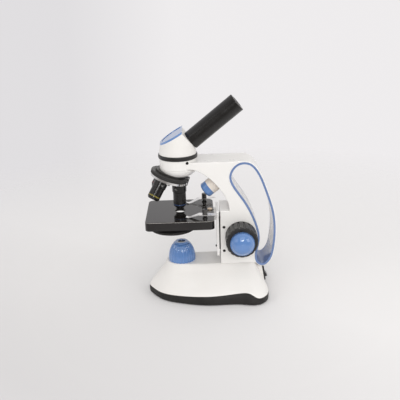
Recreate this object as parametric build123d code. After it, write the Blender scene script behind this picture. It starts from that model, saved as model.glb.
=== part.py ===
from build123d import *
import math
import os

# Driving dimensions in millimetres.
# Every piece is modelled with X measured from the optical axis; place() moves it to the part frame,
# whose origin is the bottom centre of the whole instrument.
OPTICAL_AXIS_X = -40.5

# Base
FOOT_HEIGHT = 1.5
BASE_FLOOR = 3.5
BASE_TOP = 46.5
BASE_MIDDLE_X = 33.0
GROUND_OUTLINE = [(-47, 0), (-42.5, 13.5), (-29, 32), (0, 47), (40, 55.2), (78, 55.4), (99, 58),
                  (110.5, 50), (116, 32), (112.5, 0)]
TOP_OUTLINE = [(-21, 0), (-19, 8.5), (-11, 17), (6, 20.2), (40, 21.2), (75, 22.3), (92, 23.2),
               (97.5, 20.5), (99.2, 12), (99.4, 0)]
# Height and spread of the base wall: 0 is the top outline and 1 the ground outline.
BASE_LEVELS = [(1.5, 0.985), (7, 1.0), (14, 0.92), (22, 0.68), (32, 0.36), (41, 0.11), (45, 0.02),
               (46.5, -0.03)]
CAVITY_LEVELS = [(3.5, 0.985), (7, 0.985), (13, 0.9), (20, 0.66), (29.5, 0.36), (38.5, 0.11), (42.5, 0.02),
                 (44, -0.03)]
CAVITY_TOP = 44.0
CAVITY_SCALE_X = 0.9675
CAVITY_SCALE_Y = 0.95
# Wavy parting line between the white shell and the black tray, as (x, height).
PARTING_LINE = [(-60, 10.4), (-47, 10.4), (-24, 11.1), (3, 12.0), (23, 12.8), (43, 13.5), (63, 14.5), (76, 15.8),
                (83, 16.5), (89, 16.0), (95, 13.2), (100, 10.8), (106, 10.0), (125, 10.0)]
FOOT_PLACES = [(-24, 17), (-24, -17), (96, 40), (96, -40)]
FOOT_RADIUS = 7.0
FOOT_RECESS = 0.8
BASE_SCREW_PLACES = [(0, 33), (0, -33), (92, 30), (92, -30)]
BASE_SCREW_RADIUS = 1.5
CELL_LENGTH = 50.5
CELL_RADIUS = 7.25
CELL_SPACING = 17.0
CELL_HEIGHT = 11.2
DOOR_GAP = 0.2
SOCKET_HEIGHT = 7.4
SOCKET_FACE_X = 113.4

# Rear rocker switch, on a boss that leans back
SWITCH_CENTRE = (111.15, 23.65)
SWITCH_LEAN = 9.3
SWITCH_REST_TILT = 10.0

# Lower lamp
LAMP_FOOT_RADIUS = 18.4
LAMP_TOP = 72.8
LAMP_FLUTES = 24
LAMP_FLUTE_RADIUS = 1.4
LAMP_FLUTE_DEPTH = 0.8
LAMP_WINDOW_RADIUS = 5.1

# Arm
ARM_HALF_WIDTH = 22.0
ARM_TOP = 189.0
ARM_FRONT_X = 53.0
SHELF_HEIGHT = 122.2
SHELF_BACK_X = 65.4
THROAT = [(65.4, 124.8), (61.1, 139.5), (53.5, 152.1), (47.2, 159.8), (33.3, 172.5), (23.2, 178.2),
          (15.5, 179.8)]
# Outer edge of the blue handle trim on the side face of the arm.
TRIM_OUTLINE = [(84, 187.7), (94.5, 185.2), (104.2, 174.1), (114.6, 149.3), (123.9, 118.5), (126.2, 90),
                (124, 66), (118, 48.8), (109.5, 42.6), (101.8, 45.7), (98.5, 56.2), (102.3, 80),
                (97.5, 105.3), (82, 136.7), (70.2, 154.6), (65.9, 168.7), (71, 181)]
TRIM_WIDTH = 2.7
TRIM_DEPTH = 4.0
TRIM_PROUD = 0.4
TRIM_CUP_TOP = 66.0
HANDLE_RIM = 1.3
# The rear edge of the arm follows this many outline points, then turns at the heel to reach the foot.
LOBE_POINTS = 9
HEEL = (103.2, 43.0)
FOOT_REAR_X = 100.0
ARM_EDGE_RADIUS = 0.9
FOCUS_CAVITY_X = (56.0, 88.0)
FOCUS_CAVITY_Z = (51.0, 112.0)
FOCUS_CAVITY_HALF_WIDTH = 18.0
BARREL_RADIUS = 24.5
BARREL_TOP = 191.5
BOWL_TOP = 178.6
BOWL_BOTTOM = 168.2
BOWL_SEAM = 0.6
SPIGOT_RADIUS = 18.0
RUNNING_CLEARANCE = 0.05
SIDE_SCREW_PLACES = [(57.7, 99.2), (57.6, 65.4)]
SIDE_SCREW_FOOT = 19.0
ARM_BOLT_PLACES = [(62, 12), (62, -12), (84, 12), (84, -12)]
ARM_BOLT_RADIUS = 2.5
LOCK_SCREW_ANGLE = -60.7
LOCK_SCREW_HEIGHT = 188.6

# Upper lamp, its axis leans down towards the stage
UPPER_LAMP_CENTRE = (41.0, 149.5)
UPPER_LAMP_LEAN = 38.0
UPPER_LAMP_RADIUS = 10.5

# Turret, its axis leans forward and meets the optical axis at the apex
TURRET_APEX = 200.8
TURRET_LEAN = 20.0
TURRET_RADIUS = 25.3
TURRET_BORE = 3.0
TURRET_RIDGES = 72
NOSEPIECE_TOP = 30.4
NOSEPIECE_BOTTOM = 32.4
TURRET_TOP = 32.7
TURRET_PLATE_TOP = 38.0
TURRET_PLATE_EDGE = 41.0
TURRET_PLATE_BOTTOM = 46.6
TURRET_PLATE_RADIUS = 24.4
OBJECTIVE_SHOULDER = 46.95
OBJECTIVE_COLLAR_RADIUS = 9.0
# Place of each objective around the turret, in degrees; the one at 0 is in use.
HIGH_TURN = 0
MID_TURN = 120
LOW_TURN = 240
LIGHT_PATH_RADIUS = 6.0

# Head
COLLAR_RADIUS = 25.8
COLLAR_BOTTOM = 191.8
COLLAR_TOP = 197.4
HEAD_RADIUS = 24.4
HEAD_TAPER = 0.118
HEAD_WALL = 3.0
HEAD_RIDGE = (6.84, 226.6)
CAP_SLOPE = 30.0
CAP_THICKNESS = 2.4
TUBE_FOOT = (17.7, 213.5)
TUBE_RISE = 38.4
TUBE_RADIUS = 12.5
TUBE_LENGTH = 76.2
EYEPIECE_RADIUS = 11.6
EYEPIECE_RIM = 1.5
EYEPIECE_RIDGES = 40

# Stage
STAGE_SIZE = 90.0
STAGE_TOP = 117.1
STAGE_BOTTOM = 105.5
STAGE_PLATE = 3.0
STAGE_CORNER = 7.0
STAGE_HOLE_RADIUS = 7.0
CLIP_PLACE = (33.0, 33.0)
CLIP_POST_TOP = 129.6
CLIP_POST_RADIUS = 2.5
CARRIAGE_X = (48.2, 51.2)
CARRIAGE_Z = (57.0, 121.0)
CARRIAGE_HALF_WIDTH = 20.0
SLIDE_Z = (62.0, 110.0)
SLIDE_HALF_WIDTH = 12.9
SLIDE_BACK_X = 66.0
STAGE_SCREW_X = 40.0
DISC_CENTRE = (-10.0, -13.0)
DISC_RADIUS = 30.0
DISC_Z = (98.0, 101.0)
DISC_APERTURES = [6.0, 5.0, 4.0, 3.0, 2.0, 1.0]

# Focus drive
FOCUS_AXIS = (80.0, 86.9)
GEAR_MODULE = 0.6
PINION_TEETH = 18
GEAR_BACKLASH = 0.1
PINION_WIDTH = 10.0
SHAFT_RADIUS = 5.0
FINE_SHAFT_RADIUS = 2.0
COARSE_RADIUS = 21.0
COARSE_Y = (24.0, 48.6)
COARSE_NOTCHES = 18
FINE_RADIUS = 15.5
FINE_Y = (49.1, 62.0)
FINE_RIM = 5.0

UPWARD = (Align.CENTER, Align.CENTER, Align.MIN)
NODES = {}


# Helpers
def block(x, y, z):
    """Box from three (low, high) pairs."""
    corner = Pos((x[0] + x[1]) / 2, (y[0] + y[1]) / 2, (z[0] + z[1]) / 2)
    return corner * Box(x[1] - x[0], y[1] - y[0], z[1] - z[0])


def wide_block(x, half_width, z):
    """Box that is even about the middle plane."""
    return block(x, (-half_width, half_width), z)


def post(radius, bottom, top):
    """Cylinder on the Z axis."""
    return Pos(0, 0, bottom) * Cylinder(radius, top - bottom, align=UPWARD)


def tube(outer, inner, bottom, top):
    """Hollow cylinder on the Z axis."""
    return post(outer, bottom, top) - post(inner, bottom - 1, top + 1)


def turned(*points):
    """Body of revolution about Z from (radius, height) corners."""
    return revolve(make_face(Plane.XZ * Polyline(*points, close=True)), Axis.Z, 360)


def side_plate(outline, low_y, high_y):
    """A face drawn in X and Z, thickened from low_y to high_y."""
    return Pos(0, high_y, 0) * extrude(Plane.XZ * outline, high_y - low_y)


def ridged(radius, depth, count, bottom, top):
    """Cylinder on Z with a ridged rim, its outline a star of straight facets."""
    points = []
    for i in range(2 * count):
        reach = radius - depth * (i % 2)
        turn = math.pi * i / count
        points.append((reach * math.cos(turn), reach * math.sin(turn)))
    return Pos(0, 0, bottom) * extrude(make_face(Polyline(*points, close=True)), top - bottom)


def at_places(shape, places, height=0.0):
    """Copies of a shape at a list of (x, y) places."""
    return [Pos(x, y, height) * shape for x, y in places]


def lying(shape, x, z, y=0.0, side=-1):
    """Turn a shape that stands on Z so that it points to -Y (side -1) or +Y (side 1)."""
    return Pos(x, side * y, z) * Rot(-90 * side, 0, 0) * shape


def place(name, *solids):
    """Move a node to the part frame and keep it for export."""
    shift = Pos(OPTICAL_AXIS_X, 0, 0)
    parts = [shift * solid for shape in solids for solid in shape.solids()]
    NODES[name] = parts[0] if len(parts) == 1 else Compound(children=parts)


# Base shell, tray and what is fixed to them
def base_outline(height, spread, scale_x=1.0, scale_y=1.0):
    """One level of the base wall, a smooth closed curve through blended outline points."""
    half = []
    for (top_x, top_y), (ground_x, ground_y) in zip(TOP_OUTLINE, GROUND_OUTLINE):
        x = top_x + spread * (ground_x - top_x)
        y = top_y + spread * (ground_y - top_y)
        half.append((BASE_MIDDLE_X + (x - BASE_MIDDLE_X) * scale_x, y * scale_y))
    far_side = [(x, -y) for x, y in reversed(half[1:-1])]
    return Pos(0, 0, height) * make_face(Spline(*half, *far_side, periodic=True))


def switch_plane():
    """Face of the switch boss, with local X up the face, local Y across and local Z outward."""
    lean = math.radians(SWITCH_LEAN)
    outward = (math.cos(lean), 0, math.sin(lean))
    up_face = (-outward[2], 0, outward[0])
    return Plane(origin=(SWITCH_CENTRE[0], 0, SWITCH_CENTRE[1]), x_dir=up_face, z_dir=outward)


def make_base():
    outside = loft([base_outline(height, spread) for height, spread in BASE_LEVELS])
    cavity = loft([base_outline(height, spread, CAVITY_SCALE_X, CAVITY_SCALE_Y)
                   for height, spread in CAVITY_LEVELS])
    boss_side = make_face(Polyline((99, 37.5), (108.9, 37.5), (113.1, 11.5), (104, 11.5), close=True))
    boss = side_plate(boss_side, -11, 11)
    line = Spline(*PARTING_LINE)
    end_x = PARTING_LINE[-1][0]
    start_x = PARTING_LINE[0][0]
    below = Polyline(PARTING_LINE[-1], (end_x, -5), (start_x, -5), PARTING_LINE[0])
    lower = side_plate(make_face([line, below]), -70, 70)
    socket_hole = Rot(0, 90, 0) * (post(3.8, -20, 10) + post(4.6, -1.8, 10))
    socket_hole = Pos(SOCKET_FACE_X, 0, SOCKET_HEIGHT) * socket_hole
    bosses = [post(4, BASE_FLOOR, BASE_TOP).moved(Pos(x, y, 0)) & outside for x, y in BASE_SCREW_PLACES]

    shell = (outside - cavity) + bosses
    shell = shell + (boss - cavity)
    shell = shell - lower - socket_hole
    shell = shell - switch_plane() * (Box(19.2, 13.2, 60) + Pos(0, 0, 5) * Box(21.4, 15.4, 10))
    shell = shell - at_places(post(ARM_BOLT_RADIUS + 0.1, 40, 50), ARM_BOLT_PLACES)
    shell = shell - at_places(post(BASE_SCREW_RADIUS, 0, 20), BASE_SCREW_PLACES)
    place("base_shell", shell)

    door_x = (-0.5, 51.0)
    door_half_width = 26.0
    tray = ((outside - cavity) & lower) - socket_hole
    ribs = [wide_block((x, x + 2.1), door_half_width, (BASE_FLOOR, 18)) for x in (-3.0, 51.4)]
    standoffs = at_places(post(2, BASE_FLOOR, 8), [(68, 10), (68, -10), (92, 10), (92, -10)])
    tray = tray + ribs + standoffs
    tray = tray - wide_block(door_x, door_half_width, (0, 4))
    tray = tray - at_places(post(FOOT_RADIUS, 0, FOOT_HEIGHT + FOOT_RECESS), FOOT_PLACES)
    screw_hole = post(BASE_SCREW_RADIUS + 0.2, 0, 5) + post(3.2, 0, FOOT_HEIGHT + 1.2)
    tray = tray - at_places(screw_hole, BASE_SCREW_PLACES)
    place("base_tray", tray)

    door = wide_block((door_x[0] + DOOR_GAP, door_x[1] - DOOR_GAP), door_half_width - DOOR_GAP,
                      (FOOT_HEIGHT, BASE_FLOOR))
    place("battery_door", door - Pos(44, 0, FOOT_HEIGHT) * Box(5, 18, 1.6))
    foot = fillet(post(FOOT_RADIUS - 0.1, 0, FOOT_HEIGHT + FOOT_RECESS).edges().group_by(Axis.Z)[0], 0.6)
    place("rubber_feet", *at_places(foot, FOOT_PLACES))
    screw = post(3.0, FOOT_HEIGHT + 0.1, FOOT_HEIGHT + 1.2) + post(BASE_SCREW_RADIUS, FOOT_HEIGHT, 17)
    screw = screw - Pos(0, 0, FOOT_HEIGHT) * Box(5, 0.8, 1.2)
    place("base_screws", *at_places(screw, BASE_SCREW_PLACES))


def make_power():
    cell_y = (-CELL_SPACING, 0, CELL_SPACING)
    along_x = Rot(0, 90, 0)
    cell = post(CELL_RADIUS, 0, CELL_LENGTH - 1) + post(2.75, 0, CELL_LENGTH)
    place("battery_cells", *[Pos(0, y, CELL_HEIGHT) * along_x * cell for y in cell_y])
    contacts = []
    for y in cell_y:
        contacts.append(block((-0.9, -0.5), (y - 5, y + 5), (BASE_FLOOR, 17))
                        + Pos(-0.6, y, CELL_HEIGHT) * along_x * post(2.5, 0, 0.6))
        contacts.append(block((51.0, 51.4), (y - 5, y + 5), (BASE_FLOOR, 17))
                        + Pos(CELL_LENGTH, y, CELL_HEIGHT) * along_x * post(2.5, 0, 0.6))
    place("battery_contacts", *contacts)
    board = wide_block((66, 95), 13, (8, 9.6))
    board = board + block((70, 76), (-6, 2), (9.6, 12.5)) + block((80, 88), (-4, 4), (9.6, 11.5))
    place("circuit_board", board)

    socket = Rot(0, 90, 0) * (post(3.7, -11, 0) + post(4.5, -1.8, 0) - post(2.75, -9, 1) + post(1.0, -10, -1))
    place("dc_socket", Pos(SOCKET_FACE_X, 0, SOCKET_HEIGHT) * socket)

    face = switch_plane()
    housing = Pos(0, 0, 1) * Box(21, 15, 2) + Pos(0, 0, -8) * Box(18.9, 12.9, 16)
    housing = housing - Pos(0, 0, -3) * Box(15.2, 10.4, 12)
    housing = housing - Pos(0, 0, 1) * Rot(90, 0, 0) * Cylinder(1.05, 12.4)
    place("switch_housing", face * housing)
    profile = Polyline((-7, -2.5), (-7, 3), (0, 1.4), (7, 3), (7, -2.5), close=True)
    rocker = side_plate(make_face(profile), -5, 5) + Rot(90, 0, 0) * Cylinder(1.0, 12)
    place("switch_rocker", face * (Pos(0, 0, 1) * Rot(0, SWITCH_REST_TILT, 0) * rocker))


def make_lower_lamp():
    window = LAMP_WINDOW_RADIUS
    slope = ThreePointArc((LAMP_FOOT_RADIUS, 51), (16.2, 61.5), (11.2, 70.4))
    crown = [(11.2, 70.4), (9.7, 70.9), (9.7, 71.8), (8.7, LAMP_TOP), (window, LAMP_TOP), (window, 70.2),
             (8.2, 70.2), (8.2, 68), (15.2, 52), (15.2, BASE_TOP), (LAMP_FOOT_RADIUS, BASE_TOP),
             (LAMP_FOOT_RADIUS, 51)]
    dome = revolve(Plane.XZ * make_face([slope, Polyline(*crown)]), Axis.Z, 360)
    bend = slope.arc_center
    flute = Torus(slope.radius + LAMP_FLUTE_RADIUS - LAMP_FLUTE_DEPTH, LAMP_FLUTE_RADIUS)
    flute = Pos(bend.X, 0, bend.Y) * Rot(90, 0, 0) * flute
    flute = flute & block((5, 30), (-3, 3), (BASE_TOP - 1, 69.4))
    dome = dome - [Rot(0, 0, 360 / LAMP_FLUTES * i) * flute for i in range(LAMP_FLUTES)]
    place("lower_lamp_housing", dome)
    rim = window - 0.1
    place("lower_lamp_lens", turned((0, 68.6), (8.0, 68.6), (8.0, 70.1), (rim, 70.1), (rim, 71.6), (0, 71.6)))


def lamp_led():
    """Round board with one emitter, on the Z axis."""
    return post(7.5, 0, 1.6) + post(2.5, 1.6, 3.5) + Pos(0, 0, 3.5) * Sphere(2.5)


# Arm
def handle_points(shift):
    """Trim outline moved outward by shift, square to the line through each point's neighbours."""
    count = len(TRIM_OUTLINE)
    points = []
    for i, (x, z) in enumerate(TRIM_OUTLINE):
        before = TRIM_OUTLINE[i - 1]
        after = TRIM_OUTLINE[(i + 1) % count]
        run_x = after[0] - before[0]
        run_z = after[1] - before[1]
        length = math.hypot(run_x, run_z)
        points.append((x - shift * run_z / length, z + shift * run_x / length))
    return points


def handle_face(shift):
    return make_face(Spline(*handle_points(shift), periodic=True))


def turret_plane():
    """Turret axis: local Z runs down it from the apex, local X towards the working objective."""
    lean = math.radians(TURRET_LEAN)
    down = (-math.sin(lean), 0, -math.cos(lean))
    return Plane(origin=(0, 0, TURRET_APEX), x_dir=(math.cos(lean), 0, -math.sin(lean)), z_dir=down)


def upper_lamp_plane():
    lean = math.radians(UPPER_LAMP_LEAN)
    outward = (-math.cos(lean), 0, -math.sin(lean))
    return Plane(origin=(UPPER_LAMP_CENTRE[0], 0, UPPER_LAMP_CENTRE[1]), x_dir=(0, 1, 0), z_dir=outward)


def lock_screw_place():
    """Points local Z outward through the barrel wall at the lock screw."""
    return Rot(0, 0, LOCK_SCREW_ANGLE) * Pos(0, 0, LOCK_SCREW_HEIGHT) * Rot(0, 90, 0)


def make_arm():
    trim_face = handle_face(0)
    opening = handle_face(-TRIM_WIDTH)
    top_rear = (TRIM_OUTLINE[0][0], ARM_TOP)
    foot_rear = (FOOT_REAR_X, BASE_TOP)
    lobe = handle_points(HANDLE_RIM)[1:LOBE_POINTS]
    rear = Spline(top_rear, *lobe)
    foot = Polyline(lobe[-1], HEEL, foot_rear, (ARM_FRONT_X, BASE_TOP), (ARM_FRONT_X, SHELF_HEIGHT),
                    (SHELF_BACK_X, SHELF_HEIGHT), THROAT[0])
    crown = Polyline(THROAT[-1], (0, THROAT[-1][1]), (0, ARM_TOP), top_rear)
    half = ARM_HALF_WIDTH
    body = side_plate(make_face([Spline(*THROAT), crown, rear, foot]), -half, half)
    side_edges = body.edges().filter_by(lambda edge: abs(abs(edge.center().Y) - half) < 0.001)
    body = fillet(side_edges, ARM_EDGE_RADIUS)

    seam_radius = BARREL_RADIUS - BOWL_SEAM
    seam_top = BOWL_TOP + BOWL_SEAM
    sides = Polyline((BARREL_RADIUS, BOWL_TOP), (seam_radius, BOWL_TOP), (seam_radius, seam_top),
                     (BARREL_RADIUS, seam_top), (BARREL_RADIUS, BARREL_TOP), (0, BARREL_TOP),
                     (0, BOWL_BOTTOM), (16, BOWL_BOTTOM))
    bowl = ThreePointArc((16, BOWL_BOTTOM), (22.2, 173), (BARREL_RADIUS, BOWL_TOP))
    barrel = revolve(Plane.XZ * make_face([sides, bowl]), Axis.Z, 360)
    body = body + (barrel - turret_plane() * post(45, NOSEPIECE_TOP, 80))

    cup_zone = wide_block((60, 140), 60, (0, TRIM_CUP_TOP))
    through = side_plate(trim_face, -60, 60)
    body = body - side_plate(opening, -60, 60) - (through & cup_zone)
    body = body - side_plate(trim_face, half - TRIM_DEPTH, half + 5)
    body = body - side_plate(trim_face, -half - 5, -half + TRIM_DEPTH)

    body = body - wide_block(FOCUS_CAVITY_X, FOCUS_CAVITY_HALF_WIDTH, FOCUS_CAVITY_Z)
    body = body - wide_block((50, 57), 8.1, (FOCUS_CAVITY_Z[0] + 0.5, FOCUS_CAVITY_Z[1]))
    body = body - lying(Cylinder(7, 100), *FOCUS_AXIS)
    side_hole = post(2.0, SIDE_SCREW_FOOT, half + 3)
    body = body - [lying(side_hole, x, z, side=side) for x, z in SIDE_SCREW_PLACES for side in (-1, 1)]
    body = body - at_places(post(ARM_BOLT_RADIUS, 40, 52), ARM_BOLT_PLACES)
    body = body - post(SPIGOT_RADIUS + RUNNING_CLEARANCE, 183, 195) - post(LIGHT_PATH_RADIUS, 150, 190)
    body = body - turret_plane() * post(2.5, 27.5, 40)
    body = body - lock_screw_place() * post(1.9, 10, 40)
    body = body - upper_lamp_plane() * post(UPPER_LAMP_RADIUS + 0.1, -18.2, 20)
    place("arm_casting", body)

    ring = side_plate(trim_face, -half - TRIM_PROUD, -half + TRIM_DEPTH)
    cup = side_plate(trim_face, -half, 0) & cup_zone
    near_trim = (ring + cup) - side_plate(opening, -60, 60)
    place("handle_trims", near_trim, mirror(near_trim, Plane.XZ))


def make_arm_hardware():
    bolt = post(ARM_BOLT_RADIUS, 40, 50.9) + post(4.5, 40.2, CAVITY_TOP)
    bolt = bolt - extrude(RegularPolygon(2.2, 6), 42.2)
    place("arm_bolts", *at_places(bolt, ARM_BOLT_PLACES))
    screw = post(1.9, SIDE_SCREW_FOOT, ARM_HALF_WIDTH - 0.3) - Pos(0, 0, ARM_HALF_WIDTH) * Box(4, 0.6, 1.8)
    place("side_screws", *[lying(screw, x, z, side=side) for x, z in SIDE_SCREW_PLACES for side in (-1, 1)])
    guide = block((57.5, 65.5), (SLIDE_HALF_WIDTH + 0.1, FOCUS_CAVITY_HALF_WIDTH), (52, 111.5))
    place("slide_guides", guide, mirror(guide, Plane.XZ))
    bush = tube(7.0, SHAFT_RADIUS + RUNNING_CLEARANCE, FOCUS_CAVITY_HALF_WIDTH, ARM_HALF_WIDTH + 0.5)
    place("pinion_bushes", *[lying(bush, *FOCUS_AXIS, side=side) for side in (-1, 1)])
    lock = post(1.8, SPIGOT_RADIUS + 0.1, BARREL_RADIUS + 0.6) - Pos(0, 0, 25.1) * Box(4, 0.7, 1.6)
    place("head_lock_screw", lock_screw_place() * lock)


def make_upper_lamp():
    lamp = upper_lamp_plane()
    radius = UPPER_LAMP_RADIUS
    place("upper_lamp_housing", lamp * tube(radius, 8, -18, 0))
    ring = fillet(post(radius, 0, 9.5).edges().group_by(Axis.Z)[-1], 3.2) - post(7.2, -1, 12)
    place("upper_lamp_ring", lamp * ring)
    place("upper_lamp_lens", lamp * fillet(post(7.1, 4, 8).edges().group_by(Axis.Z)[-1], 1.5))
    place("lamp_leds", Pos(0, 0, BASE_TOP) * lamp_led(), lamp * (Pos(0, 0, -8) * lamp_led()))


# Turret and objectives
def objective_plane(turn):
    """Axis of one objective, which passes through the apex."""
    frame = turret_plane()
    lean = math.radians(TURRET_LEAN)
    swing = math.radians(turn)
    sideways = frame.x_dir * math.cos(swing) + frame.y_dir * math.sin(swing)
    axis = frame.z_dir * math.cos(lean) + sideways * math.sin(lean)
    return Plane(origin=frame.origin, x_dir=frame.z_dir.cross(sideways), z_dir=axis)


def make_turret():
    frame = turret_plane()
    bore = TURRET_BORE
    base = frame * tube(20, 2.5, NOSEPIECE_TOP, NOSEPIECE_BOTTOM)
    place("nosepiece_base", base - post(LIGHT_PATH_RADIUS, 150, 190))
    head_top = TURRET_PLATE_BOTTOM + 0.3
    head_bottom = head_top + 2.5
    bolt = post(2.5, 27.6, 33) + post(bore - RUNNING_CLEARANCE, NOSEPIECE_BOTTOM, head_top)
    bolt = bolt + post(5, head_top, head_bottom)
    place("turret_bolt", frame * (bolt - Pos(0, 0, head_bottom) * Box(12, 1, 2)))
    leaf_x = (25.7, 26.5)
    detent = block((20.1, leaf_x[1]), (-3, 3), (NOSEPIECE_TOP, NOSEPIECE_TOP + 1))
    place("turret_detent", frame * (detent + block(leaf_x, (-3, 3), (NOSEPIECE_TOP, 42))))

    holes = [objective_plane(turn) * post(5.5, 25, 60) for turn in (HIGH_TURN, MID_TURN, LOW_TURN)]
    radius = TURRET_RADIUS
    top = TURRET_TOP
    ridge_top = top + 1.2
    bottom = TURRET_PLATE_TOP
    ridge_bottom = bottom - 0.5
    body = turned((0, top), (radius - 1.2, top), (radius, top + 0.8), (radius, ridge_top), (0, ridge_top))
    body = body + ridged(radius, 0.6, TURRET_RIDGES, ridge_top, ridge_bottom)
    body = body + turned((0, ridge_bottom), (radius, ridge_bottom), (radius - 0.4, bottom), (0, bottom))
    place("turret_body", frame * (body - post(bore, 20, 60)) - holes)
    plate = turned((bore, bottom), (TURRET_PLATE_RADIUS, bottom), (TURRET_PLATE_RADIUS, TURRET_PLATE_EDGE),
                   (9, TURRET_PLATE_BOTTOM), (bore, TURRET_PLATE_BOTTOM))
    place("turret_plate", frame * plate - holes)

    shoulder = OBJECTIVE_SHOULDER
    collar = OBJECTIVE_COLLAR_RADIUS
    spigot = [(3.4, 41), (5.4, 41), (5.4, shoulder), (collar, shoulder)]
    low = turned(*spigot, (collar, 54), (8.2, 54.8), (8.2, 59), (7.9, 59), (7.9, 60.4), (8.2, 60.4),
                 (8.2, 63), (6.4, 67), (4, 67), (4, 64), (3.4, 64))
    mid = turned(*spigot, (collar, 54), (8.3, 54.8), (8.3, 66.4), (8.0, 66.4), (8.0, 67.8), (8.3, 67.8),
                 (8.3, 69.4), (6.6, 72), (3, 72), (3, 69.5), (3.4, 69.5))
    high = turned(*spigot, (collar + 0.5, shoulder), (collar + 0.5, 56), (8.6, 56.8), (8.6, 73), (8.3, 73),
                  (8.3, 74.4), (8.6, 74.4), (8.6, 75.2), (6.8, 77.2), (6.05, 77.2), (6.05, 60), (3.4, 60))
    place("objective_high", objective_plane(HIGH_TURN) * high)
    place("objective_mid", objective_plane(MID_TURN) * mid)
    place("objective_low", objective_plane(LOW_TURN) * low)
    mid_lens = objective_plane(MID_TURN) * post(2.95, 69.5, 71.2)
    low_lens = objective_plane(LOW_TURN) * post(3.95, 64, 66.2)
    place("objective_lenses", mid_lens, low_lens)
    nose = turned((2, 63), (6, 63), (6, 78.2), (4.6, 79.2), (4.6, 79.9), (5.6, 79.9), (5.6, 80.9), (4.6, 81.3),
                  (4.6, 82), (3.8, 82.4), (1.5, 82.4), (1.5, 79), (2, 79))
    place("objective_nose", objective_plane(HIGH_TURN) * nose)
    place("nose_lens", objective_plane(HIGH_TURN) * post(1.45, 79.5, 82))


# Head and eyepiece
def tube_plane():
    rise = math.radians(TUBE_RISE)
    along = (math.cos(rise), 0, math.sin(rise))
    return Plane(origin=(TUBE_FOOT[0], 0, TUBE_FOOT[1]), x_dir=(0, 1, 0), z_dir=along)


def head_cone(inset, bottom, top):
    """The head's tapering round body, narrowed all round by an inset."""
    wide = HEAD_RADIUS - inset - HEAD_TAPER * (bottom - COLLAR_TOP)
    narrow = HEAD_RADIUS - inset - HEAD_TAPER * (top - COLLAR_TOP)
    return Pos(0, 0, bottom) * Cone(wide, narrow, top - bottom, align=UPWARD)


def make_head():
    head_height = 250.0
    rise = math.tan(math.radians(CAP_SLOPE))
    back_fall = 1 / math.tan(math.radians(TUBE_RISE))
    ridge_x, ridge_z = HEAD_RIDGE
    left_x = -32.0
    left_z = ridge_z - rise * (ridge_x - left_x)
    right_x = ridge_x + (ridge_z - COLLAR_TOP) / back_fall
    corners = [(left_x, COLLAR_TOP), (right_x, COLLAR_TOP), HEAD_RIDGE, (left_x, left_z)]
    outline = make_face(Polyline(*corners, close=True))
    tube_frame = tube_plane()
    housing = side_plate(outline, -40, 40) & head_cone(0, COLLAR_TOP, head_height)
    hollow = side_plate(offset(outline, -HEAD_WALL, kind=Kind.INTERSECTION), -40, 40)
    housing = housing - (hollow & head_cone(HEAD_WALL, COLLAR_TOP, head_height))
    housing = housing - post(13.5, 190, 202) - tube_frame * post(11, -8, 8)
    place("head_housing", housing)

    drop = CAP_THICKNESS / math.cos(math.radians(CAP_SLOPE))
    cap_side = [(left_x, left_z), HEAD_RIDGE, (ridge_x, ridge_z + drop), (left_x, left_z + drop)]
    cap = side_plate(make_face(Polyline(*cap_side, close=True)), -40, 40)
    cap = cap & head_cone(0, COLLAR_TOP, head_height)
    cap_top = Plane(origin=(ridge_x, 0, ridge_z + drop), x_dir=(0, 1, 0),
                    z_dir=(-math.sin(math.radians(CAP_SLOPE)), 0, math.cos(math.radians(CAP_SLOPE))))
    cap_border = 2.4
    panel = head_cone(cap_border, COLLAR_TOP, head_height)
    panel = panel & wide_block((-40, ridge_x - cap_border), 40, (COLLAR_TOP, head_height))
    panel = panel & cap_top * Box(100, 120, 1.2)
    place("head_cap", cap - panel)

    collar = fillet(post(COLLAR_RADIUS, COLLAR_BOTTOM, COLLAR_TOP).edges(), 1.4)
    collar = (collar + post(SPIGOT_RADIUS, 183.5, COLLAR_TOP)) - post(13.5, 180, 200)
    place("head_collar", collar)
    prism_foot = COLLAR_TOP + HEAD_WALL
    prism = [(-8, prism_foot), (8.5, prism_foot), (14, 209), (4.5, 220.9), (-8, 214.5)]
    place("head_prism", side_plate(make_face(Polyline(*prism, close=True)), -8, 8))

    radius = TUBE_RADIUS
    outer = turned((10, -5), (10.95, -5), (10.95, 0), (radius, 0), (radius, TUBE_LENGTH),
                   (EYEPIECE_RADIUS, TUBE_LENGTH), (EYEPIECE_RADIUS, 25), (10, 25))
    place("eyepiece_tube", tube_frame * outer)
    barrel_radius = EYEPIECE_RADIUS - RUNNING_CLEARANCE
    top = TUBE_LENGTH + EYEPIECE_RIM
    rim_start = TUBE_LENGTH + RUNNING_CLEARANCE
    rim_radius = radius - 0.7
    rim_foot = rim_start + 0.2
    eyepiece = turned((9.5, 28), (barrel_radius, 28), (barrel_radius, rim_foot), (rim_radius, rim_foot),
                      (rim_radius, top), (8.4, top), (7.2, top - 1.2), (7.2, top - 4), (9.5, top - 4))
    grip = ridged(radius - 0.05, 0.5, EYEPIECE_RIDGES, rim_start, top - 0.3)
    eyepiece = eyepiece + (grip - post(10, 0, 100))
    place("eyepiece_barrel", tube_frame * eyepiece)
    place("eyepiece_lenses", tube_frame * post(9.4, top - 8, top - 4.1), tube_frame * post(9.4, 30, 33.5))


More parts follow.
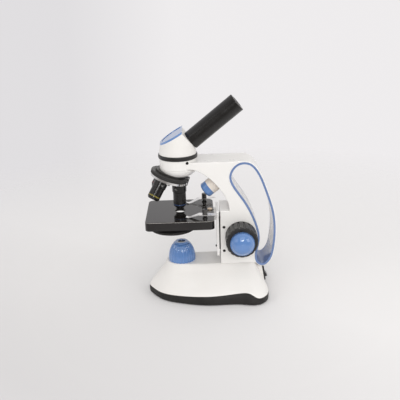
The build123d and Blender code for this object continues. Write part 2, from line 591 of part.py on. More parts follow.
# Stage, clips and aperture disc
def make_stage():
    half = STAGE_SIZE / 2
    plate = wide_block((-half, half), half, (STAGE_BOTTOM, STAGE_TOP))
    plate = fillet(plate.edges().filter_by(Axis.Z), STAGE_CORNER)
    plate = fillet(plate.edges().group_by(Axis.Z)[-1], 1.2)
    wall = 2.6
    under = wide_block((-half + wall, half - wall), half - wall, (STAGE_BOTTOM - 1, STAGE_TOP - STAGE_PLATE))
    plate = plate - fillet(under.edges().filter_by(Axis.Z), STAGE_CORNER - wall)
    plate = plate - wide_block((40, 50), 16.5, (100, STAGE_TOP - STAGE_PLATE))
    boss = post(4.5, DISC_Z[1] + 0.4, STAGE_TOP - 1) - post(1.5, 90, STAGE_TOP - 2)
    plate = plate + Pos(*DISC_CENTRE, 0) * boss
    clip_x, clip_y = CLIP_PLACE
    clip_hole = post(CLIP_POST_RADIUS + RUNNING_CLEARANCE, 100, 130)
    plate = plate - post(STAGE_HOLE_RADIUS, 100, 130)
    plate = plate - at_places(clip_hole, [(clip_x, clip_y), (clip_x, -clip_y)])
    plate = plate - Pos(STAGE_SCREW_X, 0, 0) * post(2.0, 100, 130)
    place("stage_plate", plate)

    low_x, high_x = CARRIAGE_X
    carriage = wide_block(CARRIAGE_X, CARRIAGE_HALF_WIDTH, CARRIAGE_Z)
    carriage = fillet(carriage.edges().filter_by(Axis.X), 2)
    carriage = carriage + wide_block((24, low_x), 16, (108, STAGE_TOP - STAGE_PLATE))
    carriage = carriage + wide_block((high_x, 58), 7.8, SLIDE_Z)
    carriage = carriage + wide_block((56.6, SLIDE_BACK_X), SLIDE_HALF_WIDTH, SLIDE_Z)
    carriage = carriage - Pos(STAGE_SCREW_X, 0, 0) * post(1.5, 100, 130)
    place("focus_carriage", carriage)
    screw = post(3.4, STAGE_TOP, STAGE_TOP + 1.4) + post(1.5, 108.5, STAGE_TOP)
    screw = screw - Pos(0, 0, STAGE_TOP + 1.4) * Box(8, 0.9, 1.4)
    place("stage_screw", Pos(STAGE_SCREW_X, 0, 0) * screw)

    pivot = post(4, DISC_Z[0] - 1.7, DISC_Z[0] - 0.3) + post(2, DISC_Z[0] - 1, DISC_Z[1] + 0.4)
    pivot = pivot + post(1.5, DISC_Z[1], STAGE_TOP - 3)
    place("diaphragm_pivot", Pos(*DISC_CENTRE, 0) * (pivot - Pos(0, 0, DISC_Z[0] - 1.7) * Box(9, 0.9, 1.4)))
    disc = ridged(DISC_RADIUS, 0.5, 90, *DISC_Z) - post(2 + RUNNING_CLEARANCE, 90, 110)
    reach = math.hypot(*DISC_CENTRE)
    start = math.degrees(math.atan2(-DISC_CENTRE[1], -DISC_CENTRE[0]))
    for i, radius in enumerate(DISC_APERTURES):
        turn = Rot(0, 0, start + 360 / len(DISC_APERTURES) * i)
        disc = disc - turn * Pos(reach, 0, 0) * post(radius, 90, 110)
    place("diaphragm_disc", Pos(*DISC_CENTRE, 0) * disc)


def make_clips():
    top = STAGE_TOP
    foot_radius = CLIP_POST_RADIUS
    knob_top = CLIP_POST_TOP
    knob_bottom = knob_top - 6.4
    post_shape = turned((0, top - 5), (foot_radius, top - 5), (foot_radius, top + 0.2), (3.3, top + 0.2),
                        (3.3, top + 1.6), (2.3, top + 2), (2.3, knob_bottom), (3.4, knob_bottom),
                        (3.4, knob_top - 0.8), (2.6, knob_top), (0, knob_top))
    level = knob_bottom - 0.6
    line = [(15, level), (-8, level), (-19.5, top + 0.9), (-22, top + 0.5), (-25, top + 1.6)]
    path = FilletPolyline(*line, radius=2.0)
    thick = 0.6
    strip = make_face(offset(path, thick / 2, side=Side.BOTH))
    blade = side_plate(strip, -5, 5)
    near_side = [(16, 3.6), (4, 4.6), (-6, 4.6), (-27, 2.6)]
    far_side = [(x, -y) for x, y in reversed(near_side)]
    plan = make_face(Polyline(*near_side, *far_side, close=True))
    blade = (blade & Pos(0, 0, 100) * extrude(plan, 60)) - post(2.3, 100, 150)
    clip_x, clip_y = CLIP_PLACE
    for side, name, swing in ((-1, "near", -9), (1, "far", 14)):
        spot = Pos(clip_x, side * clip_y, 0) * Rot(0, 0, swing)
        place(name + "_clip_post", spot * post_shape)
        place(name + "_clip_blade", spot * blade)


# Focus drive
def pinion_outline():
    """Spur gear outline in X and Z from the involute formula, with one tooth pointing to -X."""
    pitch = GEAR_MODULE * PINION_TEETH / 2
    base = pitch * math.cos(math.radians(20))
    tip = pitch + GEAR_MODULE
    root = pitch - 1.25 * GEAR_MODULE
    rolled = math.tan(math.radians(20)) - math.radians(20)
    half_tooth = (math.pi * GEAR_MODULE / 2 - GEAR_BACKLASH) / 2 / pitch
    points = []
    steps = 5
    for tooth in range(PINION_TEETH):
        middle = math.pi + 2 * math.pi * tooth / PINION_TEETH
        flank = []
        for i in range(steps + 1):
            radius = base + (tip - base) * i / steps
            pressure = math.acos(base / radius)
            flank.append((radius, half_tooth + rolled - (math.tan(pressure) - pressure)))
        flank = [(root, flank[0][1])] + flank
        corners = [(r, middle - a) for r, a in flank] + [(r, middle + a) for r, a in reversed(flank)]
        points += [(r * math.cos(a), r * math.sin(a)) for r, a in corners]
    return make_face(Polyline(*points, close=True))


def rack_outline(low, high, back_x):
    """Straight rack in X and Z, teeth towards +X, with a gap level with the pinion axis."""
    axis_x, axis_z = FOCUS_AXIS
    pitch_x = axis_x - GEAR_MODULE * PINION_TEETH / 2
    step = math.pi * GEAR_MODULE
    slope = math.tan(math.radians(20))
    half = step / 4 - GEAR_BACKLASH / 2
    root_x = pitch_x - 1.25 * GEAR_MODULE
    tip_x = pitch_x + GEAR_MODULE
    points = [(back_x, low), (root_x, low)]
    first = math.ceil((low - axis_z) / step)
    last = math.floor((high - axis_z) / step - 1)
    for i in range(first, last + 1):
        middle = axis_z + (i + 0.5) * step
        foot = half + (pitch_x - root_x) * slope
        crest = half - GEAR_MODULE * slope
        points += [(root_x, middle - foot), (tip_x, middle - crest)]
        points += [(tip_x, middle + crest), (root_x, middle + foot)]
    points += [(root_x, high), (back_x, high)]
    return make_face(Polyline(*points, close=True))


def make_focus():
    x, z = FOCUS_AXIS
    place("focus_rack", side_plate(rack_outline(SLIDE_Z[0], SLIDE_Z[1], SLIDE_BACK_X), -4.4, 4.4))
    half = PINION_WIDTH / 2
    gear = Pos(x, 0, z) * side_plate(pinion_outline(), -half, half)
    shaft = gear
    for side in (-1, 1):
        half_shaft = post(4.6, half - 0.5, half + 1) + post(SHAFT_RADIUS, half + 1, COARSE_Y[1] - 2)
        shaft = shaft + lying(half_shaft, x, z, side=side)
    shaft = shaft - lying(Cylinder(FINE_SHAFT_RADIUS + RUNNING_CLEARANCE, 100), x, z)
    place("pinion_shaft", shaft)
    place("fine_shaft", lying(Cylinder(FINE_SHAFT_RADIUS, 2 * FINE_Y[1] - 8), x, z))

    start, end = COARSE_Y
    radius = COARSE_RADIUS
    coarse = turned((0, start), (radius - 1, start), (radius, start + 1), (radius, end - 1.5),
                    (radius - 1.5, end), (0, end))
    notch = Pos(radius + 0.4, 0, 0) * post(1.4, start + 2.2, end + 1)
    coarse = coarse - [Rot(0, 0, 360 / COARSE_NOTCHES * i) * notch for i in range(COARSE_NOTCHES)]
    coarse = coarse - post(SHAFT_RADIUS, start - 1, end - 2) - post(2.4, start, end + 1)
    fine_start, fine_end = FINE_Y
    dome_foot = (FINE_RADIUS - 0.6, fine_start + FINE_RIM)
    dome_top = (1.5, fine_end)
    rim = Polyline(dome_top, (0, fine_end), (0, fine_start), (FINE_RADIUS - 0.6, fine_start), dome_foot)
    crown = ThreePointArc(dome_foot, (10.1, fine_end - 2.1), dome_top)
    fine = revolve(Plane.XZ * make_face([rim, crown]), Axis.Z, 360)
    fine = fine + ridged(FINE_RADIUS + 0.5, 0.9, 40, fine_start, fine_start + FINE_RIM)
    fine = fine - post(FINE_SHAFT_RADIUS, fine_start - 1, fine_end - 4)
    for side, name in ((-1, "near"), (1, "far")):
        place(name + "_coarse_knob", lying(coarse, x, z, side=side))
        place(name + "_fine_knob", lying(fine, x, z, side=side))


make_base()
make_power()
make_lower_lamp()
make_arm()
make_arm_hardware()
make_upper_lamp()
make_turret()
make_head()
make_stage()
make_clips()
make_focus()

os.makedirs("parts", exist_ok=True)
for node_name, node_shape in NODES.items():
    export_step(node_shape, "parts/" + node_name + ".step")
print(len(NODES), "nodes written")
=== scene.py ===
# %% [markdown]
# # A student microscope, dressed around its measured model
# The bodies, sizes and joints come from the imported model, which is the fixed frame.
# This lesson gives every piece a finish, adds the small trim that is easier to model here,
# and sets up the studio: a pale floor, soft light and a camera at the photograph's angle.

# %% Load the frame
import math

import bpy
from mathutils import Matrix, Vector


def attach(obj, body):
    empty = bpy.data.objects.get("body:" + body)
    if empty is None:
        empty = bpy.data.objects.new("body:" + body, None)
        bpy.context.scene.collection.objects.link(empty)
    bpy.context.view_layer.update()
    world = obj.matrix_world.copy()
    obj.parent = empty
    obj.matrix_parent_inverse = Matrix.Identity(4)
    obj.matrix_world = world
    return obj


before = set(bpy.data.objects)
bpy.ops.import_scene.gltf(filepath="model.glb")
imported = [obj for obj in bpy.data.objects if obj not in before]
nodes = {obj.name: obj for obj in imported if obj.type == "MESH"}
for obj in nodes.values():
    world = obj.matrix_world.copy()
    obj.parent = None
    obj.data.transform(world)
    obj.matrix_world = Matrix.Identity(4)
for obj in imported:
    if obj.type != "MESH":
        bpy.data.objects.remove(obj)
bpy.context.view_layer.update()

# %% [markdown]
# ## The camera
# The photograph was taken from the side of the instrument, a little above the stage.
# Its stage edges and tube gave the lens, the height and a roll of under two degrees.
# A camera could track an empty, but a direct aim keeps the scene free of constraints.

# %% Camera
MM = 0.001
AIM = Vector((-13.4, 0, 131)) * MM
CAMERA_DISTANCE = 852 * MM
CAMERA_RISE = math.radians(19.07)
CAMERA_ROLL = math.radians(-1.88)
FOCAL_PIXELS = 634.7
FRAME_PIXELS = 400
SENSOR_MM = 36

lens = bpy.data.cameras.new("side_camera")
lens.sensor_width = SENSOR_MM
lens.lens = FOCAL_PIXELS * SENSOR_MM / FRAME_PIXELS
lens.clip_start = 0.01
camera = bpy.data.objects.new("side_camera", lens)
bpy.context.scene.collection.objects.link(camera)
toward_camera = Vector((0, -math.cos(CAMERA_RISE), math.sin(CAMERA_RISE)))
aimed = (-toward_camera).to_track_quat("-Z", "Y").to_matrix().to_4x4()
camera.matrix_world = (Matrix.Translation(AIM + toward_camera * CAMERA_DISTANCE) @ aimed
                       @ Matrix.Rotation(CAMERA_ROLL, 4, "Z"))
bpy.context.scene.camera = camera
print("camera lens", round(lens.lens, 1), "mm")

# %% [markdown]
# ## Starting a finish
# A finish is a Principled shader with a few procedural layers. Values that are the same all over sit on
# the shader itself. These helpers start a finish, add a node to it and join two sockets, so that the
# finishes below read like a list of what is laid on.

# %% Finish basics
def new_finish(name, metallic=0.0, coat=0.0, ior=1.5):
    """A finish with the values that are the same all over."""
    finish = bpy.data.materials.new(name)
    finish.use_nodes = True
    shader = finish.node_tree.nodes["Principled BSDF"]
    shader.inputs["Metallic"].default_value = metallic
    shader.inputs["Coat Weight"].default_value = coat
    shader.inputs["IOR"].default_value = ior
    return finish


def add_node(finish, kind, **sockets):
    """Add a node, with values for some of its sockets by name."""
    node = finish.node_tree.nodes.new(kind)
    for name, value in sockets.items():
        node.inputs[name.replace("_", " ")].default_value = value
    return node


def wire(finish, source, target):
    finish.node_tree.links.new(source, target)


def shader_input(finish, name):
    return finish.node_tree.nodes["Principled BSDF"].inputs[name]


# %% [markdown]
# ## Patterns
# Each pattern reads the piece's own coordinates in metres, so a scale of 1000 gives marks about a
# millimetre across, and the pattern rides with the piece. UV maps would need unwrapping, and these
# pieces have no seams worth following.

# %% Pattern tools
CLOUD_LOW = 0.3
CLOUD_HIGH = 0.7


def own_place(finish, squeeze=(1, 1, 1)):
    """The piece's own coordinates in metres, with a pattern squeezed along some axes."""
    place = add_node(finish, "ShaderNodeTexCoord")
    mapping = add_node(finish, "ShaderNodeMapping", Scale=squeeze)
    wire(finish, place.outputs["Object"], mapping.inputs["Vector"])
    return mapping.outputs["Vector"]


def own_axis(finish, letter):
    """One of the piece's own coordinates, X, Y or Z."""
    split = add_node(finish, "ShaderNodeSeparateXYZ")
    wire(finish, own_place(finish), split.inputs[0])
    return split.outputs[letter]


def cloud(finish, scale, detail=3.0, squeeze=(1, 1, 1)):
    """Soft random patches, a value that lies mostly between CLOUD_LOW and CLOUD_HIGH."""
    noise = add_node(finish, "ShaderNodeTexNoise", Scale=scale, Detail=detail)
    wire(finish, own_place(finish, squeeze), noise.inputs["Vector"])
    return noise.outputs["Fac"]


def cells(finish, scale):
    """Distance to the nearest of many random points, for specks and pores."""
    voronoi = add_node(finish, "ShaderNodeTexVoronoi", Scale=scale)
    wire(finish, own_place(finish), voronoi.inputs["Vector"])
    return voronoi.outputs["Distance"]


def fitted(finish, value, low, high, out_low=0.0, out_high=1.0):
    """Stretch a value's range from (low, high) to (out_low, out_high)."""
    span = add_node(finish, "ShaderNodeMapRange")
    span.inputs["From Min"].default_value = low
    span.inputs["From Max"].default_value = high
    span.inputs["To Min"].default_value = out_low
    span.inputs["To Max"].default_value = out_high
    wire(finish, value, span.inputs["Value"])
    return span.outputs["Result"]


# %% [markdown]
# ## Layers
# Each helper lays one thing over the finish: a colour between two tones, a second colour under a mask,
# specks, a change of gloss, or a relief. A finish is then four or five of these in a row.

# %% Layer tools
def tone(finish, value, low_colour, high_colour, low=CLOUD_LOW, high=CLOUD_HIGH):
    """Colour the finish between two tones."""
    ramp = add_node(finish, "ShaderNodeValToRGB")
    ramp.color_ramp.elements[0].position = low
    ramp.color_ramp.elements[1].position = high
    ramp.color_ramp.elements[0].color = (*low_colour, 1)
    ramp.color_ramp.elements[1].color = (*high_colour, 1)
    wire(finish, value, ramp.inputs["Fac"])
    wire(finish, ramp.outputs["Color"], shader_input(finish, "Base Color"))


def lay_over(finish, mask, colour):
    """Lay a colour over the one that is already there, as far as a mask says."""
    mix = add_node(finish, "ShaderNodeMix")
    mix.data_type = "RGBA"
    under = shader_input(finish, "Base Color").links[0].from_socket
    wire(finish, mask, mix.inputs["Factor"])
    wire(finish, under, mix.inputs["A"])
    mix.inputs["B"].default_value = (*colour, 1)
    wire(finish, mix.outputs["Result"], shader_input(finish, "Base Color"))


def specks(finish, scale, size, colour, strength):
    """Lay small round specks over the colour that is already there."""
    lay_over(finish, fitted(finish, cells(finish, scale), size, 0.0, 0.0, strength), colour)


def gloss(finish, value, smooth, rough):
    """Let the roughness wander between two levels."""
    level = fitted(finish, value, CLOUD_LOW, CLOUD_HIGH, smooth, rough)
    wire(finish, level, shader_input(finish, "Roughness"))


def relief(finish, value, depth, strength=0.5):
    """Raise or sink the surface by a small depth, over any relief already there."""
    bump = add_node(finish, "ShaderNodeBump", Strength=strength, Distance=depth)
    wire(finish, value, bump.inputs["Height"])
    normal = shader_input(finish, "Normal")
    if normal.links:
        wire(finish, normal.links[0].from_socket, bump.inputs["Normal"])
    wire(finish, bump.outputs["Normal"], normal)


def dress(finish, *names):
    """Give the finish to some of the loaded pieces."""
    for name in names:
        mesh = nodes[name].data
        mesh.materials.clear()
        mesh.materials.append(finish)
    print(finish.name, "on", ", ".join(names))


# %% [markdown]
# ## White mouldings
# The base cover and the head are moulded in glossy white plastic. Plain white would look like paper, so
# the colour wanders between a warm and a cool white, a few grey specks stand for dust, and the gloss and
# a fine ripple change in patches. Noise does this with no picture file and no seam.

# %% White moulding
white_moulding = new_finish("white_moulding")
tone(white_moulding, cloud(white_moulding, 22), (0.82, 0.795, 0.765), (0.85, 0.83, 0.805))
specks(white_moulding, 700, 0.05, (0.6, 0.57, 0.54), 0.2)
gloss(white_moulding, cloud(white_moulding, 60), 0.32, 0.42)
relief(white_moulding, cloud(white_moulding, 180, 1), 0.00002, 0.1)
dress(white_moulding, "base_shell", "head_housing")

# %% [markdown]
# ## The upper lamp's cream barrel
# This barrel is a creamier plastic than the body. It follows the same recipe with warmer tones, lifted
# about as bright as the body's white: painted light for the shade it sits in under the arm. It has no
# dust, because it sits in the shelter of the arm.

# %% Cream moulding
cream_moulding = new_finish("cream_moulding")
# Partly painted light: the cream tones are lifted for the shade under the arm.
tone(cream_moulding, cloud(cream_moulding, 40), (0.87, 0.79, 0.71), (0.90, 0.825, 0.75))
gloss(cream_moulding, cloud(cream_moulding, 90), 0.24, 0.36)
relief(cream_moulding, cloud(cream_moulding, 300, 1), 0.00002, 0.1)
dress(cream_moulding, "upper_lamp_housing")

# %% [markdown]
# ## White paint on the arm
# The arm is a casting under gloss white paint. Paint has a clear layer over its colour, so this finish
# gets a little coat, and its ripple is flatter than the moulding's.

# %% White paint
white_paint = new_finish("white_paint", coat=0.3)
tone(white_paint, cloud(white_paint, 18), (0.85, 0.83, 0.802), (0.88, 0.862, 0.84))
specks(white_paint, 600, 0.04, (0.65, 0.62, 0.6), 0.15)
gloss(white_paint, cloud(white_paint, 45), 0.26, 0.34)
relief(white_paint, cloud(white_paint, 240, 2), 0.00001, 0.1)
dress(white_paint, "arm_casting")

# %% [markdown]
# ## The slide, with painted light and shade
# The slide's white is a little paler than the arm's, as painted light for a slab in the shade between
# stage and arm. Behind the front slab a mask along X lays black, as painted shade for the narrow gap
# between slab and arm.
# It could be cut into two objects, but the real slide is a single casting, so one mask does it.

# %% Slide paint
SLAB_BACK_X = 10.9 * MM
SLAB_EDGE = 0.2 * MM
slide_paint_with_painted_light = new_finish("slide_paint_with_painted_light", coat=0.3)
# Painted light: this white is paler than the arm's, for the slab in shade between stage and arm.
tone(slide_paint_with_painted_light, cloud(slide_paint_with_painted_light, 24), (0.90, 0.88, 0.86), (0.93, 0.915, 0.895))
gloss(slide_paint_with_painted_light, cloud(slide_paint_with_painted_light, 45), 0.26, 0.34)
relief(slide_paint_with_painted_light, cloud(slide_paint_with_painted_light, 240, 2), 0.00001, 0.1)
# Painted shade: black behind the front slab darkens the gap between the slab and the arm.
painted_gap_shade = fitted(slide_paint_with_painted_light, own_axis(slide_paint_with_painted_light, "X"), SLAB_BACK_X, SLAB_BACK_X + SLAB_EDGE)
lay_over(slide_paint_with_painted_light, painted_gap_shade, (0.02, 0.019, 0.018))
dress(slide_paint_with_painted_light, "focus_carriage")

# %% [markdown]
# ## Blue mouldings
# The lamp dome, lamp ring and fine knobs are one blue plastic with a polished skin. A clear coat gives
# the domes their small sharp highlights, and a fine grain and pale specks break up the flat blue.

# %% Blue moulding
blue_moulding = new_finish("blue_moulding", coat=0.8, ior=1.6)
tone(blue_moulding, cloud(blue_moulding, 35), (0.098, 0.218, 0.495), (0.125, 0.256, 0.545))
specks(blue_moulding, 1100, 0.1, (0.35, 0.45, 0.65), 0.3)
gloss(blue_moulding, cloud(blue_moulding, 90), 0.05, 0.11)
relief(blue_moulding, cloud(blue_moulding, 1800, 2), 0.00002, 0.2)
dress(blue_moulding, "lower_lamp_housing", "near_fine_knob", "far_fine_knob", "upper_lamp_ring")

# %% [markdown]
# ## The blue handle trim
# The rings round the handle are the same plastic, rubbed duller by hands, so they get less coat and more
# roughness than the knobs. Their greyer, darker tones are painted shade, for the shade on the rings'
# angled edges.

# %% Trim blue
trim_blue = new_finish("trim_blue", coat=0.4)
# Painted shade: greyer, darker tones than the knobs' blue.
tone(trim_blue, cloud(trim_blue, 35), (0.125, 0.20, 0.40), (0.155, 0.235, 0.45))
specks(trim_blue, 1100, 0.1, (0.35, 0.42, 0.58), 0.3)
gloss(trim_blue, cloud(trim_blue, 90), 0.15, 0.26)
relief(trim_blue, cloud(trim_blue, 1800, 2), 0.00002, 0.2)
dress(trim_blue, "handle_trims")

# %% [markdown]
# ## The blue cap on the head
# The cap is the same blue, but it is seen at a flat angle and shows the bright room. A clear coat and a
# higher index give that stronger mirror, which low roughness alone would not.

# %% Cap blue
cap_blue = new_finish("cap_blue", coat=1.0, ior=1.8)
tone(cap_blue, cloud(cap_blue, 35), (0.125, 0.245, 0.52), (0.155, 0.285, 0.57))
specks(cap_blue, 1100, 0.08, (0.35, 0.45, 0.65), 0.2)
gloss(cap_blue, cloud(cap_blue, 90), 0.14, 0.22)
relief(cap_blue, cloud(cap_blue, 1200, 2), 0.00001, 0.15)
dress(cap_blue, "head_cap")

# %% [markdown]
# ## The grained base tray
# The tray, battery door and aperture disc are black plastic with a spark-eroded grain, so their relief is
# the strongest here. A low index keeps the grain from looking wet.

# %% Tray black
tray_black = new_finish("tray_black", ior=1.35)
tone(tray_black, cloud(tray_black, 40), (0.016, 0.015, 0.014), (0.026, 0.024, 0.023))
specks(tray_black, 800, 0.12, (0.12, 0.115, 0.11), 0.4)
gloss(tray_black, cloud(tray_black, 120), 0.5, 0.65)
relief(tray_black, cloud(tray_black, 1500, 3), 0.00008, 0.5)
dress(tray_black, "base_tray", "battery_door", "diaphragm_disc")

# %% [markdown]
# ## Satin black plastic
# The collar, coarse knobs, switch and power socket are smoother than the tray. The same recipe with
# shallower relief and more gloss sets them apart from it.

# %% Satin black
satin_black = new_finish("satin_black")
tone(satin_black, cloud(satin_black, 50), (0.014, 0.013, 0.013), (0.022, 0.021, 0.02))
specks(satin_black, 1200, 0.1, (0.12, 0.115, 0.11), 0.35)
gloss(satin_black, cloud(satin_black, 150), 0.28, 0.44)
relief(satin_black, cloud(satin_black, 2200, 2), 0.00003, 0.4)
dress(satin_black, "head_collar", "near_coarse_knob", "far_coarse_knob", "switch_housing", "switch_rocker",
      "dc_socket")

# %% [markdown]
# ## Rubber feet
# The feet are matt rubber with open pores. Voronoi cells make pores, where noise would only make bumps.

# %% Foot rubber
foot_rubber = new_finish("foot_rubber")
tone(foot_rubber, cloud(foot_rubber, 120), (0.018, 0.018, 0.018), (0.035, 0.034, 0.033))
gloss(foot_rubber, cloud(foot_rubber, 300), 0.7, 0.9)
relief(foot_rubber, cells(foot_rubber, 1600), 0.00006, 0.5)
dress(foot_rubber, "rubber_feet")

# %% [markdown]
# ## Black enamel on turned metal
# The tube and the objectives are turned metal under a thin smooth enamel. It is almost black, and its
# shape is told by reflections, so the gloss matters more than the colour.

# %% Enamel black
enamel_black = new_finish("enamel_black")
tone(enamel_black, cloud(enamel_black, 60), (0.007, 0.0064, 0.006), (0.012, 0.011, 0.0105))
specks(enamel_black, 1300, 0.08, (0.15, 0.145, 0.14), 0.3)
gloss(enamel_black, cloud(enamel_black, 130), 0.16, 0.3)
relief(enamel_black, cloud(enamel_black, 900, 2), 0.00002, 0.25)
dress(enamel_black, "eyepiece_tube", "objective_high", "objective_mid", "objective_low", "objective_nose")

# %% [markdown]
# ## The turret
# The turret and the seat above it are a little duller, as fingers leave them. Their greyer tone is painted
# reflection, for the room that their tops mirror. A separate finish keeps them apart from the objectives
# below.

# %% Turret black
turret_black = new_finish("turret_black")
# Painted reflection: a greyer black than the objectives' enamel.
tone(turret_black, cloud(turret_black, 60), (0.026, 0.0245, 0.0235), (0.04, 0.038, 0.036))
specks(turret_black, 1300, 0.08, (0.15, 0.145, 0.14), 0.3)
gloss(turret_black, cloud(turret_black, 130), 0.28, 0.42)
relief(turret_black, cloud(turret_black, 900, 2), 0.00002, 0.25)
dress(turret_black, "turret_body", "nosepiece_base")

# %% [markdown]
# ## The stage
# The stage is the glossiest part and shows what stands on it. Its rounded upper edge carries a painted
# highlight: a paler band of colour for the light that the rounding catches. One mask by height starts the
# painted band, and a second covers the flat top again, so no edge has to be cut into the mesh.

# %% Stage enamel
PAINTED_HIGHLIGHT_FROM = (116.3 * MM, 116.5 * MM)
PAINTED_HIGHLIGHT_TO = (116.85 * MM, 116.95 * MM)
stage_enamel = new_finish("stage_enamel")
tone(stage_enamel, cloud(stage_enamel, 30), (0.010, 0.0085, 0.008), (0.015, 0.0135, 0.0125))
specks(stage_enamel, 600, 0.05, (0.2, 0.195, 0.19), 0.3)
gloss(stage_enamel, cloud(stage_enamel, 70), 0.05, 0.14)
relief(stage_enamel, cloud(stage_enamel, 260, 1), 0.00001, 0.12)
height = own_axis(stage_enamel, "Z")
# Painted highlight: a paler band on the rounded upper edge, black again over the flat top.
painted_highlight_start = fitted(stage_enamel, height, *PAINTED_HIGHLIGHT_FROM)
painted_highlight_end = fitted(stage_enamel, height, *PAINTED_HIGHLIGHT_TO)
lay_over(stage_enamel, painted_highlight_start, (0.24, 0.225, 0.21))
lay_over(stage_enamel, painted_highlight_end, (0.0125, 0.011, 0.010))
dress(stage_enamel, "stage_plate")

# %% [markdown]
# ## Bright steel
# Clip blades, shafts and bolts are bright steel with fine lines along their length. A cloud that is
# squeezed thirty times in two directions becomes such lines.

# %% Bright steel
FINE_LINES = (1, 30, 30)
bright_steel = new_finish("bright_steel", metallic=1.0)
tone(bright_steel, cloud(bright_steel, 90), (0.78, 0.77, 0.755), (0.88, 0.875, 0.865))
gloss(bright_steel, cloud(bright_steel, 160, 3, FINE_LINES), 0.16, 0.34)
relief(bright_steel, cloud(bright_steel, 220, 3, FINE_LINES), 0.00001, 0.3)
dress(bright_steel, "near_clip_blade", "far_clip_blade", "base_screws", "battery_contacts", "arm_bolts",
      "turret_bolt", "diaphragm_pivot", "pinion_shaft", "fine_shaft")

# %% [markdown]
# ## The plated turret plate
# The plate under the turret is plated and almost a mirror. Painted grey would miss the bright edge that it
# shows from the side, so it is a metal whose gloss hardly changes.

# %% Plated metal
plated_metal = new_finish("plated_metal", metallic=1.0)
tone(plated_metal, cloud(plated_metal, 80), (0.7, 0.69, 0.68), (0.82, 0.815, 0.81))
gloss(plated_metal, cloud(plated_metal, 240), 0.1, 0.24)
relief(plated_metal, cloud(plated_metal, 1200, 2), 0.00001, 0.25)
dress(plated_metal, "turret_plate")

# %% [markdown]
# ## Blackened screws
# The screws on the arm and the turret's detent spring are blackened steel: a dark metal rather than a
# black plastic, so they still glint.

# %% Blackened steel
blackened_steel = new_finish("blackened_steel", metallic=1.0)
tone(blackened_steel, cloud(blackened_steel, 300), (0.02, 0.02, 0.021), (0.05, 0.048, 0.047))
gloss(blackened_steel, cloud(blackened_steel, 500), 0.28, 0.45)
relief(blackened_steel, cloud(blackened_steel, 1800, 2), 0.00002, 0.3)
dress(blackened_steel, "side_screws", "head_lock_screw", "turret_detent")

# %% [markdown]
# ## Dark chrome
# The eyepiece barrel and the clip posts are plated dark and reflect sharply. A dark metal does this, where
# a black paint would show only its own white highlights.

# %% Dark chrome
dark_chrome = new_finish("dark_chrome", metallic=1.0)
tone(dark_chrome, cloud(dark_chrome, 120), (0.10, 0.098, 0.096), (0.16, 0.157, 0.154))
gloss(dark_chrome, cloud(dark_chrome, 260), 0.1, 0.2)
relief(dark_chrome, cloud(dark_chrome, 1500, 2), 0.00002, 0.3)
dress(dark_chrome, "eyepiece_barrel", "near_clip_post", "far_clip_post")

# %% [markdown]
# ## Brass inside the drive
# The slide's guides, the pinion's bushes and the rack are brass. A cloud that is squeezed along Z gives
# the fine lines that a cutter leaves, which would be far too many to model.

# %% Turned brass
TURNING_LINES = (1, 1, 12)
turned_brass = new_finish("turned_brass", metallic=1.0)
tone(turned_brass, cloud(turned_brass, 200), (0.6, 0.44, 0.2), (0.74, 0.57, 0.3))
gloss(turned_brass, cloud(turned_brass, 400), 0.18, 0.34)
relief(turned_brass, cloud(turned_brass, 900, 2, TURNING_LINES), 0.00001, 0.3)
dress(turned_brass, "slide_guides", "pinion_bushes", "focus_rack")

# %% [markdown]
# ## The pale screw in the stage
# The small screw in the stage's corner is a paler, duller brass than the drive, so it gets its own tones.

# %% Pale brass
pale_brass = new_finish("pale_brass", metallic=1.0)
tone(pale_brass, cloud(pale_brass, 200), (0.66, 0.54, 0.4), (0.78, 0.66, 0.52))
gloss(pale_brass, cloud(pale_brass, 400), 0.22, 0.36)
relief(pale_brass, cloud(pale_brass, 900, 2), 0.00001, 0.3)
dress(pale_brass, "stage_screw")

# %% [markdown]
# ## Clear glass
# Lenses and prism are clear glass: full transmission, a faint tint, and a coating that wanders a little
# in its gloss.

# %% Lens glass
lens_glass = new_finish("lens_glass", ior=1.52)
shader_input(lens_glass, "Transmission Weight").default_value = 1.0
tone(lens_glass, cloud(lens_glass, 60), (0.9, 0.94, 0.97), (0.97, 0.98, 1.0))
gloss(lens_glass, cloud(lens_glass, 200), 0.01, 0.05)
dress(lens_glass, "upper_lamp_lens", "head_prism", "eyepiece_lenses", "objective_lenses", "nose_lens")

# %% [markdown]
# ## The lamp window's painted shade
# The window on the base lamp looks dark when the lamp is off, because its inside gets little light. Clear
# glass over that inside could do this too, but it needs many light paths for such a small disc, so the
# window is a dark glossy solid, and its dark colour is painted shade.

# %% Smoked glass
dark_window_painted_shade = new_finish("dark_window_painted_shade", ior=1.4)
# Painted shade: the dark colour stands in for the unlit inside behind clear glass.
tone(dark_window_painted_shade, cloud(dark_window_painted_shade, 90), (0.012, 0.012, 0.013), (0.02, 0.02, 0.022))
gloss(dark_window_painted_shade, cloud(dark_window_painted_shade, 200), 0.04, 0.1)
dress(dark_window_painted_shade, "lower_lamp_lens")

# %% [markdown]
# ## The circuit board
# Inside the base is a green board with pale solder points, and each lamp has a small round one with its
# diode. Plain specks stand for the solder, because the boards are seen only when the case is open.

# %% Board green
green_board = new_finish("green_board")
tone(green_board, cloud(green_board, 300, 2), (0.015, 0.09, 0.03), (0.03, 0.14, 0.05))
specks(green_board, 500, 0.14, (0.55, 0.5, 0.35), 0.8)
gloss(green_board, cloud(green_board, 200), 0.3, 0.5)
dress(green_board, "circuit_board", "lamp_leds")

# %% [markdown]
# ## The dry cells
# The three cells have a plain dark wrap with a slight sheen. They carry no print, as they come and go.

